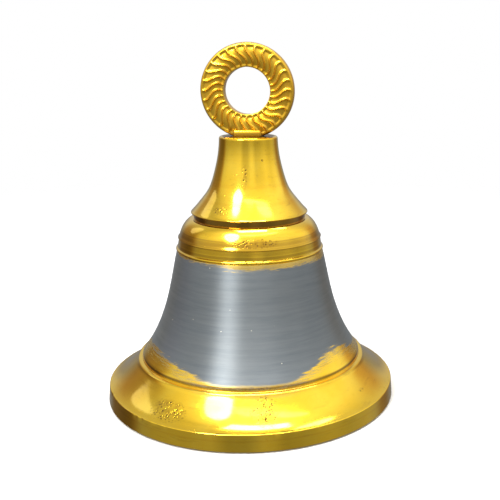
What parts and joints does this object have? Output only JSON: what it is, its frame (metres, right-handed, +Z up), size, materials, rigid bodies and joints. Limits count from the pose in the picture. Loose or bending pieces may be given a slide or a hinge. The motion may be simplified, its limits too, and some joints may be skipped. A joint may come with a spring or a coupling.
{
  "type": "church bell",
  "caption": "Small turned brass hanging bell: flared lip, ridged skirt, grey satin waist, moulded shoulder, slender neck, grooved hanging ring and a clapper on a link inside.",
  "frame": {"origin": "centre of the mouth, on the plane that the rim stands on", "axes": "+Z up the bell's axis to the hanging ring; +Y along the ring's hole; +X across the ring"},
  "size_m": [0.15, 0.15, 0.1806],
  "materials": {
    "shell_brass": "polished, with a brushed grey satin band round the waist",
    "neck_brass": "mirror polished",
    "ring_brass": "cast, lightly polished",
    "bolt_steel": "plain, dull",
    "washer_leather": "oiled",
    "washer_steel": "zinc plated",
    "spring_steel": "blued",
    "link_steel": "bent wire, dull",
    "rod_steel": "bent rod, dull",
    "nut_brass": "machined",
    "bob_brass": "turned, worn bright where it strikes"
  },
  "bodies": {
    "bell": {"bell_shell": "shell_brass", "crown_neck": "neck_brass", "hanging_ring": "ring_brass", "eye_bolt": "bolt_steel", "leather_washer": "washer_leather", "steel_washer": "washer_steel", "spring_washer": "spring_steel"},
    "link": {"clapper_link": "link_steel"},
    "clapper": {"clapper_rod": "rod_steel", "lock_nut": "nut_brass", "clapper_bob": "bob_brass"}
  },
  "joints": [
    {"name": "link_swing", "type": "hinge", "parent": "bell", "child": "link", "pos_m": [0, 0, 0.0696], "axis": [0, 1, 0], "range_deg": [-39, 39]},
    {"name": "clapper_swing", "type": "hinge", "parent": "link", "child": "clapper", "pos_m": [0, 0, 0.05995], "axis": [1, 0, 0], "range_deg": [-8, 8]}
  ]
}
